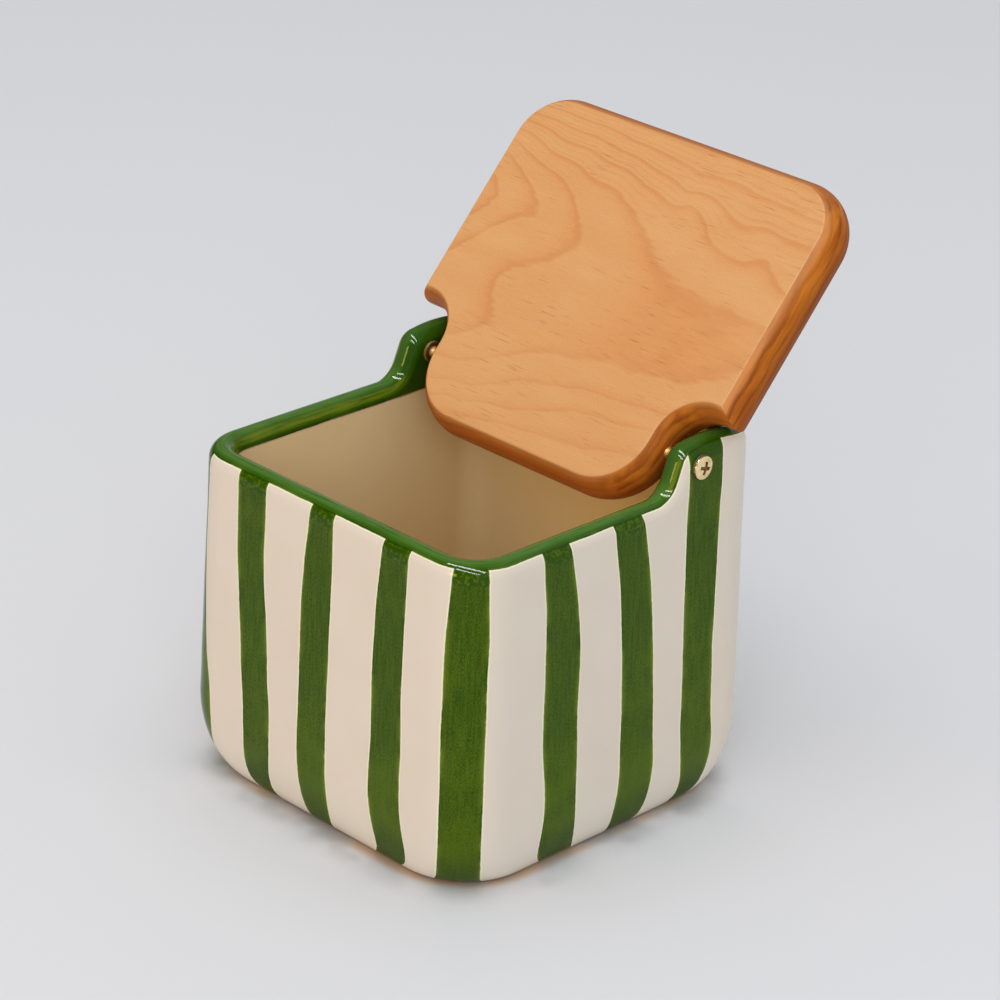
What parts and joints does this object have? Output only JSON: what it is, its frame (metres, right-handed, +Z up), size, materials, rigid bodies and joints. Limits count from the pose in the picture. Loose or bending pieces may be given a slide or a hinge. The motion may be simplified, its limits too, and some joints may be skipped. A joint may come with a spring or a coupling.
{
  "type": "salt box with hinged lid",
  "caption": "Square glazed ceramic salt box with rounded corners and a soft, stepped rim. A thick wooden lid swings back between raised hinge ears.",
  "frame": {"origin": "centre of the flat base, on the surface the box stands on", "axes": "+Z up, -Y towards the low front wall, +Y towards the hinge, +X to the right seen from the front"},
  "size_m": [0.1274, 0.1551, 0.1803],
  "materials": {
    "glaze": "glossy cream glaze with hand-painted green stripes and rim",
    "pine": "oiled, satin",
    "brass": "bright",
    "nylon": "translucent brown, satin",
    "fibre": "dark, matte"
  },
  "bodies": {
    "box": {"ceramic_body": "glaze", "pivot_bush_right": "nylon", "pivot_bush_left": "nylon", "head_washer_right": "fibre", "head_washer_left": "fibre"},
    "lid": {"lid": "pine", "pivot_screw_right": "brass", "pivot_screw_left": "brass"}
  },
  "joints": [
    {"name": "lid_hinge", "type": "hinge", "parent": "box", "child": "lid", "pos_m": [0, 0.0302, 0.1109], "axis": [1, 0, 0], "range_deg": [0, 131.6]}
  ]
}
